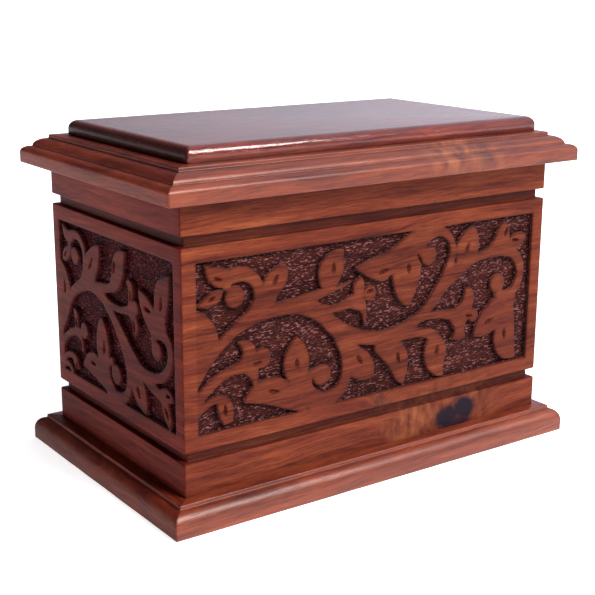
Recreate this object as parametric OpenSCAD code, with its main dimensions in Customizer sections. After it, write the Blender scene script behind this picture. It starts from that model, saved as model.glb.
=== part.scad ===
// Rosewood keepsake box for ashes: four carved boards on a moulded base, under a lift-off moulded lid.
// Millimetres. X runs along the front, the front faces -Y, and Z = 0 is the surface it stands on.

/* [Walls] */
// Length of the box along its front, over the wall boards
wall_len = 236; // [160:1:320]
// Depth of the box from front to back, over the wall boards
wall_dep = 140; // [100:1:200]
// Height of the wall boards
wall_h = 145; // [110:1:190]
// Thickness of the wall boards
wall_t = 12; // [10:0.5:18]
// Height of the plain band under the lower groove
plinth_band = 17; // [10:0.5:25]
// Height of the plain band above the upper groove
frieze_band = 16.4; // [10:0.5:25]
// Height of the square groove that is run round the box twice
groove_h = 5.4; // [3:0.1:8]
// Depth of that groove
groove_d = 3.2; // [1.5:0.1:5]

/* [Carving] */
// Margin left plain beside the carved field
side_margin = 8; // [5:0.5:14]
// Margin left plain above and below the carved field
edge_margin = 7.8; // [5:0.1:14]
// Depth of the sunk ground
relief_d = 3; // [1.5:0.1:5]

/* [Base] */
// Height of the base moulding
base_h = 15; // [12:0.5:24]
// How far the base and the cornice stand out from the walls
overhang = 12; // [8:0.5:18]
// Height of the upright face at the foot of the base
base_face = 6.3; // [5:0.1:12]
// How far the fillet on top of the base stands out from the walls
base_fillet_out = 6.3; // [3:0.1:8]
// Width of the base rails, from the outer edge to the inner one
base_rail_w = 30; // [24:0.5:40]
// Thickness of the bottom board
bottom_t = 9; // [5:0.5:11]
// Gap left round the bottom board so that it can swell
bottom_gap = 0.5; // [0.2:0.1:1]

/* [Lid] */
// Height of the cornice moulding
cornice_h = 15.6; // [12:0.1:22]
// Height of the upright face at the foot of the cornice
cornice_face = 5.8; // [3:0.1:8]
// How far the step between the two rounds stands out from the walls
cornice_step_out = 6.8; // [4:0.1:8]
// How far the lip of the lid drops inside the walls
lip_drop = 5; // [3:0.5:10]
// Thickness of that lip
lip_t = 4; // [3:0.5:6]
// Clearance between the lip and the walls
lip_gap = 0.6; // [0.3:0.1:1.5]
// Thickness of the raised top board
top_t = 8; // [6:0.5:12]
// How far the long edges of the top board stand in from the wall faces
top_inset = 6.5; // [4:0.5:8]
// The same at its two ends, on average
top_end_inset = 5.5; // [4:0.5:8]
// How far the top board sits to the right of the middle
top_shift = 2.5; // [0:0.5:3]
// Radius of the rounded upper edge of the top board
top_round = 4.6; // [3:0.1:5.5]

/* [Hidden] */

face_wood = "#8f4a32";
shade_wood = "#6e3a30";
top_wood = "#4a3036";

fillet_h = 2;         // small upright fillet that finishes each moulding
step_ledge = 0.8;     // flat ledge between the two rounds of the cornice
arc_steps = 8;        // facets of a quarter round
past = 1;             // how far a cutter runs past the wood

walls_z = base_h;
lid_z = base_h + wall_h;
panel_z = plinth_band + groove_h;
panel_h = wall_h - plinth_band - frieze_band - 2 * groove_h;
carving_h = panel_h - 2 * edge_margin;

/* The vine is drawn on a grid, which is stretched to the field that it fills.
   A stem is a route of [across, up, half width], a ball is [across, up, radius],
   a leaf is [foot across, foot up, tip across, tip up, half width, bow],
   a bud is [across, up, direction, length]. */
long_grid = [219, 85];
long_stems = [
    // main stem, arch and lower left scroll
    [[-120, -24, 6], [-110, -11, 5], [-103, -4, 4], [-96, 1, 2.7], [-88, 7, 3], [-78, 11.7, 4],
     [-65, 13.3, 3.6], [-52, 13, 4], [-42, 10, 4.5], [-33, 3, 4], [-26, -5, 4], [-21.5, -16, 3.3],
     [-20.5, -27, 3], [-24, -35, 3.4], [-33, -39.3, 4.3], [-42, -37.5, 5.5], [-46.5, -31, 4.6],
     [-44.5, -24, 2.6], [-38, -22, 2.2]],
    // upper left scroll
    [[-78, 11, 5], [-75.3, 22, 2.7], [-78, 30, 3], [-85, 34, 3.2], [-92, 32.5, 4.2],
     [-94.3, 27, 2.6], [-90, 23, 3]],
    // branch to the upright leaf
    [[-58, 13.5, 4], [-48, 15.5, 3], [-38, 17.5, 2.5], [-31, 21, 4]],
    // branch to the middle bud
    [[-46, 10, 3], [-36, 9.2, 2], [-27, 8.7, 2.1], [-20, 9.5, 3], [-14, 11, 4]],
    // long sweep and upper scroll
    [[-40, 9, 3], [-30, 0, 4.3], [-20, -6.5, 4.3], [-8, -10.5, 3.8], [5, -12.3, 3.8],
     [18, -9.5, 3.5], [30, -4, 3], [39, 4.5, 2.8], [45.5, 14, 3], [49.5, 24, 2.2], [49.8, 31, 1.9],
     [46.5, 37, 2.3], [40, 40.3, 2.8], [31, 39, 4.3], [25, 33, 5], [30, 28, 4]],
    // right band and right scroll
    [[36, 0, 2.5], [45, 11, 4], [56, 18, 4.5], [67, 21.8, 2.6], [78, 23.7, 3], [88, 23.8, 3.3],
     [96, 21, 3.2], [101, 14, 2.8], [101, 6, 2.8], [96, -1, 3], [89, -2.5, 3], [84, 1, 3]],
    // stem of the hanging leaf, then of the right bud
    [[8, -13, 3.3], [22, -13.2, 2.8], [33, -15.3, 2.8], [39, -20, 5]],
    [[16, -9, 2.5], [30, -5.8, 1.9], [42, -5.5, 1.9], [52, -6.5, 2.4], [58, -7.5, 3]],
    // stem of the lower left bud, then the hooked leaf
    [[-114, -27, 3.5], [-106, -20, 3], [-97, -14.5, 2.8], [-88, -12.8, 3.6], [-82, -13, 5]],
    [[-114, -34, 3], [-106, -28.5, 2], [-99, -26, 2.2], [-95, -29, 4], [-93.5, -34, 4.3],
     [-92, -40, 2]]
];
long_balls = [[-36.2, -25.2, 5.8], [-88, 23.3, 6.2], [32.2, 27.8, 5.8], [85.5, 4.5, 6.5]];
long_leaves = [
    [-128, 10, -97.5, 3, 12, 1.5],
    [-90, 32, -104.5, 41, 5.2, 2.2],
    [-95.5, 26.5, -109, 21.5, 3.5, 0.5],
    [-76, 12, -59, 36, 8, 1.2],
    [-30, 15, -24, 39, 8.2, 2.3],
    [-46, -36, -84, -31, 8.4, -4.5],
    [-52, -32, -51, -2, 7.6, 0.5],
    [-20, -18, -3, -34.5, 8.2, 1.2],
    [2, -12, 17.5, -41, 7.6, 1.5],
    [37.5, -18, 46.5, -41.5, 8, -1.6],
    [27, 30, -16, 28, 8, 3],
    [20, 36, 19.5, 3.5, 8.4, -0.6],
    [58.5, 16, 64.5, 41, 8.2, 0.8],
    [97, -6, 67.5, -23, 8.4, -1.6],
    [89, 0, 101, -41, 7.4, -3.4],
    [85, 25, 87.5, 41.5, 3.6, 0.8],
    [85, 25, 105, 30, 4.2, 0.6]
];
long_buds = [[-84, -13, 12, 16], [-14, 11, 2, 15], [58, -7.5, -8, 14]];

short_grid = [125, 85];
short_stems = [
    // main stem, arch and lower scroll
    [[-74, -24, 6], [-61, -10, 5], [-55, -2, 4], [-48, 5, 3], [-38, 10.5, 3.5], [-28, 12.8, 3.2],
     [-18, 12, 3.4], [-8, 7.5, 3.4], [1, -0.5, 3.2], [9, -10, 3.2], [14, -20, 2.8], [15, -31, 2.5],
     [10.5, -38.5, 3], [1, -41, 3.4], [-8, -38, 5.5], [-11, -30, 4], [-8, -24, 2.4], [-2, -23, 2.4]],
    // upper left scroll
    [[-36, 10, 4], [-32.5, 20, 2.6], [-32.5, 30, 2.6], [-38, 37, 2.6], [-46, 38, 2.8], [-53, 34.5, 3],
     [-52, 27.5, 2.6], [-46, 25, 3]],
    // branch to the upright leaf
    [[-22, 13, 3], [-10, 15, 2.6], [-1, 18, 2.6], [4, 22, 4]],
    // branch to the middle bud
    [[-16, 11.5, 2.6], [-4, 7.8, 2], [8, 7.5, 2.2], [18, 10, 3]],
    // long sweep and right scroll
    [[-3, 4, 3], [8, -6, 4], [18, -14, 4.2], [30, -19.5, 3.4], [43, -19.5, 3], [53, -15, 2.8],
     [58.5, -7, 2.6], [57.5, 1.5, 3], [50, 5.5, 4], [42, 3.5, 3], [40.5, -3, 2.4], [44, -7, 3]],
    // stem of the right bud, then of the lower left bud, then the hooked leaf
    [[24, -17, 2.4], [36, -22.5, 2.4], [48, -26, 3]],
    [[-68, -32, 3], [-61, -25, 2.6], [-53, -19.5, 2.6], [-43, -16.5, 3.4]],
    [[-68, -42, 3], [-60, -34, 2], [-53, -32.5, 2], [-48.5, -34.5, 3.6], [-47, -39.5, 2.6]]
];
short_balls = [[0.5, -29.8, 5.6], [-44, 25.5, 5.6], [45.8, -4, 5.8]];
short_leaves = [
    [-80, 12, -51, 5, 11, 1],
    [-46, 34, -59, 40.5, 4.2, 1.4],
    [-50, 26, -61, 22, 5, 0.6],
    [-34, 14, -14.5, 36, 7.4, 0.8],
    [2, 17, 14, 38.5, 6.8, 2],
    [-9, -36, -39.5, -34.5, 7.2, -4],
    [-14, -32, -13, -1.5, 7.4, 0.5],
    [14.5, -17, 33, -41.5, 8, 0.8],
    [52, 6, 28, 22, 7.2, 1],
    [50, 6, 59.5, 35, 7.2, 3],
    [48, -25, 61, -26, 3.6, 0.4],
    [50, -27, 57, -42, 4.2, 0.8]
];
short_buds = [[-43, -16.5, 18, 14], [18, 10, 12, 14]];

stem_steps = 3;       // facets between two points of a stem
leaf_steps = 7;       // facets along one side of a leaf
belly = 0.4;          // where a leaf is widest, from its foot
foot_cut = 0.45;      // how much narrower a leaf is at its foot
petals = [[78, 0.8, 0.24, 0.06], [0, 1, 0.27, 0.05], [-78, 0.9, 0.24, -0.06]];

// Point at t on the smooth curve that runs from p1 to p2
function curve(p0, p1, p2, p3, t) =
    (2 * p1 + (p2 - p0) * t + (2 * p0 - 5 * p1 + 4 * p2 - p3) * t * t
     + (3 * p1 - p0 - 3 * p2 + p3) * t * t * t) / 2;

// The route with more points, along that curve
function smooth(route, last) = [
    for (i = [0 : last - 1], k = [0 : stem_steps - 1])
        curve(route[max(i - 1, 0)], route[i], route[i + 1], route[min(i + 2, last)], k / stem_steps),
    route[last]
];

// Unit vector square to the path at point i
function square_to(path, i) =
    let (a = path[max(i - 1, 0)], b = path[min(i + 1, len(path) - 1)], d = [a.y - b.y, b.x - a.x])
    d / norm(d);

// Outline of a ribbon along a path of [across, up, half width]
function ribbon(path) = concat(
    [for (i = [0 : len(path) - 1]) [path[i].x, path[i].y] + square_to(path, i) * path[i].z],
    [for (i = [len(path) - 1 : -1 : 0]) [path[i].x, path[i].y] - square_to(path, i) * path[i].z]
);

// Share of its full width that a leaf has at t
function leaf_width(t) =
    t < belly ? 1 - foot_cut * pow((belly - t) / belly, 2)
              : pow(max(cos(90 * (t - belly) / (1 - belly)), 0), 0.75);

// Path of [across, up, half width] along a bowed leaf
function leaf_path(foot, tip, half_w, bow) =
    let (d = tip - foot, bend = (foot + tip) / 2 + [-d.y, d.x] / norm(d) * 2 * bow)
    [for (i = [0 : leaf_steps])
        let (t = i / leaf_steps, p = (1 - t) * (1 - t) * foot + 2 * t * (1 - t) * bend + t * t * tip)
        [p.x, p.y, half_w * leaf_width(t)]];

module stem(route) {
    polygon(ribbon(smooth(route, len(route) - 1)));
}

module leaf(foot, tip, half_w, bow) {
    polygon(ribbon(leaf_path(foot, tip, half_w, bow)));
}

module bud(at, direction, length) {
    for (p = petals)
        leaf(at, at + length * p[1] * [cos(direction + p[0]), sin(direction + p[0])],
             length * p[2], length * p[3]);
}

module ball(at, r) {
    translate(at) circle(r, $fn = 16);
}

// The sunk ground: the field less the vine, both on the vine's grid
module ground(grid, stems, balls, leaves, buds) {
    offset(delta = -0.01)
    difference() {
        square(grid, center = true);
        for (s = stems) stem(s);
        for (b = balls) ball([b.x, b.y], b.z);
        for (l = leaves) leaf([l[0], l[1]], [l[2], l[3]], l[4], l[5]);
        for (b = buds) bud([b[0], b[1]], b[2], b[3]);
    }
}

module long_ground(buds) {
    ground(long_grid, long_stems, long_balls, long_leaves, buds);
}

module short_ground() {
    ground(short_grid, short_stems, short_balls, short_leaves, short_buds);
}

// A board of one side, mitred at both ends, with its face at y = 0 and its back at y = thick
module mitred(length, thick, height) {
    linear_extrude(height)
        polygon([[-length / 2, 0], [length / 2, 0],
                 [length / 2 - thick, thick], [-length / 2 + thick, thick]]);
}

module groove(length, z) {
    translate([-length / 2 - past, -past, z]) cube([length + 2 * past, groove_d + past, groove_h]);
}

// One wall: mitred board, two grooves and the sunk ground, whose outline is the child
module wall(length, grid) {
    field_w = length - 2 * side_margin;
    translate([0, 0, walls_z])
    difference() {
        mitred(length, wall_t, wall_h);
        groove(length, plinth_band);
        groove(length, panel_z + panel_h);
        translate([0, relief_d, panel_z + panel_h / 2])
            rotate([90, 0, 0])
                linear_extrude(relief_d + past)
                    scale([field_w / grid.x, carving_h / grid.y]) children();
    }
}

// A quarter round from [x, z] out by w and down by h, ending upright
function quarter_round(x, z, w, h) =
    [for (i = [0 : arc_steps]) [x + w * sin(90 * i / arc_steps), z - h * (1 - cos(90 * i / arc_steps))]];

// Cut sections of the mouldings, x out from the wall face and y up
base_section = concat(
    [[overhang - base_rail_w, 0], [overhang - base_rail_w, base_h - bottom_t],
     [-wall_t, base_h - bottom_t], [-wall_t, base_h], [base_fillet_out, base_h]],
    quarter_round(base_fillet_out, base_h - fillet_h, overhang - base_fillet_out,
                  base_h - fillet_h - base_face),
    [[overhang, 0]]
);

cornice_step_z = cornice_face + (cornice_h - fillet_h - cornice_face) * 0.42;
cornice_section = concat(
    [[-wall_t, 0], [-wall_t - lip_gap, 0], [-wall_t - lip_gap, -lip_drop],
     [-wall_t - lip_gap - lip_t, -lip_drop], [-wall_t - lip_gap - lip_t, cornice_h], [0, cornice_h]],
    quarter_round(0, cornice_h - fillet_h, cornice_step_out, cornice_h - fillet_h - cornice_step_z),
    quarter_round(cornice_step_out + step_ledge, cornice_step_z,
                  overhang - cornice_step_out - step_ledge, cornice_step_z - cornice_face),
    [[overhang, 0]]
);

// One rail of a mitred frame of the given section, with the wall face at y = 0
module rail(length, section) {
    outer = length + 2 * overhang;
    intersection() {
        translate([-outer / 2, 0, 0])
            rotate([90, 0, 90])
                linear_extrude(outer)
                    polygon([for (p = section) [-p.x, p.y]]);
        translate([0, -overhang, -lip_drop - past])
            mitred(outer, overhang + base_rail_w, base_h + cornice_h + lip_drop + past);
    }
}

module at_front() { translate([0, -wall_dep / 2, 0]) children(); }
module at_back() { rotate([0, 0, 180]) translate([0, -wall_dep / 2, 0]) children(); }
module at_left() { rotate([0, 0, -90]) translate([0, -wall_len / 2, 0]) children(); }
module at_right() { rotate([0, 0, 90]) translate([0, -wall_len / 2, 0]) children(); }

module base_front() { color(face_wood) at_front() rail(wall_len, base_section); }
module base_back() { color(face_wood) at_back() rail(wall_len, base_section); }
module base_left() { color(shade_wood) at_left() rail(wall_dep, base_section); }
module base_right() { color(shade_wood) at_right() rail(wall_dep, base_section); }

module bottom_panel() {
    edge = 2 * (wall_t + bottom_gap);
    color(shade_wood)
        translate([-(wall_len - edge) / 2, -(wall_dep - edge) / 2, base_h - bottom_t])
            cube([wall_len - edge, wall_dep - edge, bottom_t]);
}

module front_wall() { color(face_wood) at_front() wall(wall_len, long_grid) long_ground(long_buds); }
// The back has the same vine without its buds
module back_wall() { color(face_wood) at_back() wall(wall_len, long_grid) long_ground([]); }
module left_wall() { color(shade_wood) at_left() wall(wall_dep, short_grid) short_ground(); }
module right_wall() {
    color(shade_wood) at_right() wall(wall_dep, short_grid) mirror([1, 0, 0]) short_ground();
}

module lid_rail(length) { translate([0, 0, lid_z]) rail(length, cornice_section); }

module cornice_front() { color(face_wood) at_front() lid_rail(wall_len); }
module cornice_back() { color(face_wood) at_back() lid_rail(wall_len); }
module cornice_left() { color(shade_wood) at_left() lid_rail(wall_dep); }
module cornice_right() { color(shade_wood) at_right() lid_rail(wall_dep); }

// A board l long and d deep whose two long upper edges are rounded
module rounded_board(l, d) {
    side = quarter_round(d / 2 - top_round, top_t, top_round, top_round);
    half = concat(side, [[d / 2, 0]]);
    translate([-l / 2, 0, 0])
        rotate([90, 0, 90])
            linear_extrude(l)
                polygon(concat(half, [for (i = [len(half) - 1 : -1 : 0]) [-half[i].x, half[i].y]]));
}

// Raised top board, rounded along the upper edge of all four sides
module top_panel() {
    l = wall_len - 2 * top_end_inset;
    d = wall_dep - 2 * top_inset;
    color(top_wood)
        translate([top_shift, 0, lid_z + cornice_h])
            intersection() {
                rounded_board(l, d);
                rotate([0, 0, 90]) rounded_board(d, l);
            }
}

base_front();
base_back();
base_left();
base_right();
bottom_panel();
front_wall();
back_wall();
left_wall();
right_wall();
cornice_front();
cornice_back();
cornice_left();
cornice_right();
top_panel();
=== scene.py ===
"""Carved rosewood urn box: carved walls, moulded rails, raised top board, studio stage.

Sizes are millimetres until a mesh is made. Each wall and rail is built in its own side frame:
u runs along the side, v is height, and depth runs from the wall face into the box."""
import math

import bpy
import numpy as np
from mathutils import Matrix, Vector
from mathutils.kdtree import KDTree


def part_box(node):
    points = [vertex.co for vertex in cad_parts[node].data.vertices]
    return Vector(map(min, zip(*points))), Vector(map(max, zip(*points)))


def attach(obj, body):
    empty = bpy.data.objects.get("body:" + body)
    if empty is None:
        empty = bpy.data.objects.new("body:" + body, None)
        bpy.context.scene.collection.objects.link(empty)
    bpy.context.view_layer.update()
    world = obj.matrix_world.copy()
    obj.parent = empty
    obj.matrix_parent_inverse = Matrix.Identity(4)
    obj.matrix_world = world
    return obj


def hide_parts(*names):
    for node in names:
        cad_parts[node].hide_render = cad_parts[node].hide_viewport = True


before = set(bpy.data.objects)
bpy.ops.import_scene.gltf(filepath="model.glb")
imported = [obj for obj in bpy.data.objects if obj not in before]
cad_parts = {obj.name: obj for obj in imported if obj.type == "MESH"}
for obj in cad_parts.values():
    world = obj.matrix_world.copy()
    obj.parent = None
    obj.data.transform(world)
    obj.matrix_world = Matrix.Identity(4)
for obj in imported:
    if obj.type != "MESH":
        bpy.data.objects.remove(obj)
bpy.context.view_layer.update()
MM = 0.001


def mm_box(node):
    """Lowest and highest corner of a CAD node, in millimetres."""
    low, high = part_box(node)
    return np.array(low) / MM, np.array(high) / MM


# ------------------------ sizes, from the frame
front_low, front_high = mm_box("front_wall")
left_low, left_high = mm_box("left_wall")
base_low, base_high = mm_box("base_front")
lid_low, lid_high = mm_box("cornice_front")
top_low, top_high = mm_box("top_panel")
floor_low, floor_high = mm_box("bottom_panel")

WALL_LEN, WALL_T, WALL_H = front_high - front_low
WALL_DEP = left_high[1] - left_low[1]
WALL_Z = front_low[2]
LID_Z = front_high[2]
OVERHANG = (base_high[0] - base_low[0] - WALL_LEN) / 2
BASE_H = base_high[2]
BASE_RAIL_W = base_high[1] - base_low[1]
CORNICE_H = lid_high[2] - LID_Z
LIP_DROP = LID_Z - lid_low[2]
TOP_T = top_high[2] - top_low[2]

# ------------------------ sizes of the finish
PLINTH_BAND = 17
FRIEZE_BAND = 16.4
GROOVE_H = 5.4
GROOVE_D = 3.2
SIDE_MARGIN = 8
EDGE_MARGIN = 7.8
RELIEF_D = 3
BASE_FACE = 6.3
BASE_FILLET_OUT = 6.3
CORNICE_FACE = 5.8
CORNICE_STEP_OUT = 6.8
STEP_LEDGE = 0.8
FILLET_H = 2
LIP_GAP = 0.6
LIP_T = 4
TOP_ROUND = 4.6
ARRIS = 0.6  # rounding of the long edges
CORNER = 1.1  # rounding of the upright corners of the box
SEAM = 0.1  # how far the wood falls away at a mitre
SLIT_D = 1.6  # depth of the slits in the leaves
GRAIN_LEAN = math.radians(1.5)

PANEL_Z = PLINTH_BAND + GROOVE_H
PANEL_H = WALL_H - PLINTH_BAND - FRIEZE_BAND - 2 * GROOVE_H
FIELD_H = PANEL_H - 2 * EDGE_MARGIN
FIELD_MID = PANEL_Z + PANEL_H / 2

# ------------------------ the vine
# Drawn on a grid that is stretched to the field. A stem is a route of (across, up, half width) and
# a ball is (across, up, radius). A leaf is the points of its outline, its sharp tip first. A slit
# is (across, up, direction, half length, half width).
LONG_GRID = (219, 85)
LONG_STEMS = [
    # main stem, arch and lower left scroll
    [(-120, -24, 6), (-110, -11, 5), (-103, -4, 4), (-96, 1, 2.7), (-88, 7, 3), (-78, 11.7, 4),
     (-65, 13.3, 3.6), (-52, 13, 4), (-42, 10, 4.5), (-33, 3, 4), (-26, -5, 4), (-21.5, -16, 3.3),
     (-20.8, -27, 3.1), (-24.3, -35, 3.6), (-33, -39.3, 4.3), (-42, -37.5, 5.5), (-45.8, -31, 4.2),
     (-44, -24.5, 2.3), (-38, -22, 2.2)],
    # upper left scroll
    [(-79, 11, 4.5), (-75, 20, 2.6), (-75.6, 28, 3), (-81, 33.3, 3.4), (-88, 34, 3.8),
     (-93, 31.5, 3), (-91.6, 27.5, 1.6)],
    # branch to the upright leaf, with its fine end
    [(-60, 13.5, 4), (-50, 15, 3.2), (-40, 17, 2.6), (-33, 18.2, 2), (-27, 18.9, 1.1),
     (-19, 20.9, 0.5)],
    # branch to the middle bud
    [(-46, 10, 3), (-36, 9, 2.6), (-30.5, 8.3, 2), (-24.5, 8.9, 2.2), (-19, 10.2, 3.2),
     (-13.5, 11, 4)],
    # long sweep and upper scroll
    [(-40, 9, 3), (-30, 0, 4.3), (-20, -6.5, 4.3), (-8, -10.5, 3.8), (5, -12.3, 3.9),
     (18, -9.5, 3.5), (30, -3.8, 3.1), (38.6, 5, 3.2), (45.3, 14, 3.2), (49.4, 24, 2.4),
     (49.9, 31, 2), (46.5, 37, 2.3), (40, 40.3, 2.9), (31, 39, 4.3), (27, 34, 4), (30, 30.5, 3)],
    # right band and right scroll
    [(36, 0, 2.5), (45, 11, 4), (56, 18, 4.4), (67, 21.9, 2.4), (78, 23.7, 3), (88, 23.8, 3.3),
     (96, 21, 3.2), (101, 14, 2.8), (101, 6, 2.8), (96.5, -0.8, 2.8), (89, -2.5, 3), (84.5, 1, 3)],
    # stem of the hanging leaf, then of the right bud
    [(8, -13, 3.3), (22, -13.3, 2.8), (33, -14.9, 2.7), (40, -19, 4)],
    [(16, -9, 2.5), (30.8, -5.6, 2.3), (38.5, -5.8, 2.2), (46.2, -6.7, 2.5), (54, -8.2, 3.6)],
    # stem of the lower left bud, then the hooked leaf
    [(-114, -28, 3.5), (-107, -22.8, 2.9), (-101, -18, 2.8), (-95, -14.8, 2.4), (-89.5, -13.2, 2.6),
     (-84, -12.5, 3.4), (-80, -12.5, 3.6)],
    [(-114, -34, 3), (-106, -28.5, 2), (-99, -26, 2.2), (-95, -29, 3.9), (-93.6, -34, 4.1),
     (-92.3, -39.6, 2.6)],
]
LONG_BALLS = [(-36.4, -25.3, 5.6), (-88.2, 23.4, 5.4), (33, 28, 5.3), (84.2, 5.5, 5.4)]
LONG_LEAVES = [
    [(-97.4, 3.2), (-98.6, 9), (-101.5, 13.8), (-106, 17.8), (-112, 20.2), (-120, 20), (-124, -14),
     (-108, -8)],
    [(-104.6, 40.6), (-103.4, 35), (-100.5, 31.2), (-96.2, 29), (-90, 29.5), (-86, 34),
     (-91, 37), (-98, 39)],
    [(-109.2, 21.5), (-105.9, 24.3), (-100.5, 27.2), (-95, 27.6), (-95.4, 24.8), (-98, 21.8),
     (-103.5, 20)],
    [(-58.8, 36), (-62, 35.8), (-66.6, 33.8), (-70.5, 31), (-72.4, 27), (-77, 20), (-74, 12),
     (-66, 14), (-64.3, 19.6), (-61, 23), (-58.4, 27.5), (-57.6, 32)],
    [(-23.8, 39), (-30.5, 38), (-35.8, 35), (-38.6, 31), (-39.1, 26.5), (-38, 22), (-35, 17.5),
     (-30, 18.5), (-26.6, 21.8), (-24.2, 26), (-23.6, 31)],
    [(-83.7, -31), (-81.3, -26.5), (-78, -23.5), (-73.5, -21.5), (-68.2, -20.8), (-63, -21.5),
     (-57, -25), (-48, -30), (-46, -42.5), (-52, -41.5), (-58.2, -39.4), (-64.3, -36.8),
     (-70.5, -34.4), (-77.4, -32.4)],
    [(-52.2, -2.4), (-55, -5), (-58.2, -9), (-59.8, -14), (-59.7, -19), (-57, -25), (-52, -30),
     (-47.4, -27), (-44.8, -20), (-44.7, -15), (-46.3, -9), (-49, -5)],
    [(-2.5, -33), (-9.7, -33.6), (-14.3, -32), (-18.2, -29.4), (-22.5, -23), (-23, -14),
     (-18, -10.5), (-12.4, -14.6), (-7.5, -18), (-4.3, -22), (-2.6, -27)],
    [(17.6, -41), (13.2, -38.2), (10, -33.6), (6.6, -28.6), (3, -24.2), (-2.6, -18), (2, -12),
     (11.5, -13), (16.4, -17.6), (19.6, -22.7), (20.6, -28), (19.6, -35)],
    [(46.3, -41.4), (42, -41), (38.2, -38.8), (34.4, -35), (32.2, -30), (32, -25), (33.4, -20.5),
     (37, -17), (42, -17.4), (45.4, -20.6), (47.6, -25), (47.6, -30), (46, -35)],
    [(-16.2, 27.9), (-12, 24.4), (-6.6, 21.3), (-1, 18.9), (4, 18.5), (8.8, 21), (20, 20),
     (31, 33), (30, 41), (25, 43.4), (20, 41.4), (15.4, 39), (10, 35.6), (3, 32.8), (-5, 31.2)],
    [(20.3, 2.2), (17, 3), (14.4, 5.2), (12, 8.4), (10.2, 12.4), (9, 17.3), (8.8, 23), (16, 30),
     (27, 28), (27.8, 21.5), (26.8, 16.4), (25.2, 11.6), (23, 6.4)],
    [(64.8, 40.8), (60.8, 39), (57, 36.4), (53.8, 32.8), (52, 28.4), (54, 20), (60, 16), (66, 20),
     (68.2, 25), (68.8, 30), (68.2, 35)],
    [(67.6, -23), (68, -19.6), (69.2, -16.4), (71.2, -12.6), (74, -9), (77.8, -6.4), (83, -3),
     (92, -4), (90, -19), (84.5, -21.2), (78, -23.4), (73, -23.8)],
    [(100.9, -40.6), (96, -40.8), (91.5, -39.8), (87.8, -37.2), (85, -33), (83.6, -28),
     (84, -22), (86, -10), (92, -2), (98.6, -3), (97.9, -9), (98.6, -16), (99.4, -24)],
    [(87.2, 41.2), (84, 37.4), (81.8, 33), (79.2, 29.2), (74, 24.4), (84, 21), (91, 24),
     (92, 31), (91.2, 35.6), (89.6, 39)],
    [(105, 30), (102.6, 32), (99, 32.7), (95, 31.9), (90, 28), (90, 23), (99, 24), (103, 27.2)],
]
LONG_BUD_LEAVES = [
    [(-12, 22.8), (-15, 21), (-16.9, 18), (-16.8, 14), (-15, 9), (-11, 9), (-10.3, 15),
     (-10.2, 19.5)],
    [(-9.7, -3.2), (-10.8, 1.5), (-13.5, 4.8), (-18, 7), (-14, 11), (-9.5, 10), (-8.4, 4),
     (-8.6, 0)],
    [(-86.6, 0.4), (-84.6, -2.5), (-84, -6), (-86, -10.5), (-80, -14), (-76.8, -8), (-77, -3),
     (-80, 0), (-83, 0.8)],
    [(-77.6, -24.6), (-79.3, -19.5), (-83, -15.6), (-82, -11), (-75.5, -12), (-75, -16.5),
     (-75.4, -21)],
    [(60.2, 5.8), (59.5, 2), (57.6, -1.6), (53, -4.6), (56, -9), (64, -9), (66.2, -4), (66.8, 0),
     (65.8, 4), (63.4, 6)],
    [(51, -22), (53.2, -18.6), (53, -15), (50, -10.6), (56, -7), (64, -10), (61.4, -14),
     (60.6, -18), (61.6, -22), (57, -22.8)],
]
LONG_BUD_BALLS = [(-6.5, 13.2, 4.1), (-72.9, -9.7, 5.2), (66.8, -10.3, 3.7)]
LONG_SLITS = [
    (-97.5, 33.2, -20, 2.6, 1), (-101, 24.2, 30, 2.4, 0.8), (-65, 28.5, 60, 3.2, 1.2),
    (-30, 29.5, 86, 3, 1.3), (-65.8, -28.5, -15, 3.8, 1.1), (-52.2, -16.5, 90, 3, 1.4),
    (-12.4, -21.8, -55, 3.4, 1.3), (13.5, -25.2, -80, 3.2, 1.3), (40.8, -26, 80, 3.2, 1.5),
    (2.6, 23.4, 10, 3.8, 1), (19.2, 22.6, -86, 3, 1.4), (60.4, 28.6, 66, 3.4, 1.4),
    (79, -15.5, 14, 3.8, 1), (91.2, -25, -85, 3.2, 1.2), (89, 34.2, 72, 2.8, 1),
    (96.6, 28.6, -8, 3, 0.9), (-94.3, -32.5, 90, 3.2, 1.1), (26.9, 26.8, -58, 4, 0.7),
]
LONG_BUD_SLITS = [(-6.2, 14.4, 14, 2.6, 0.8), (-75.4, -11.9, 6, 3.2, 0.9),
                  (63.6, -10.2, -8, 3, 0.8)]

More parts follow.
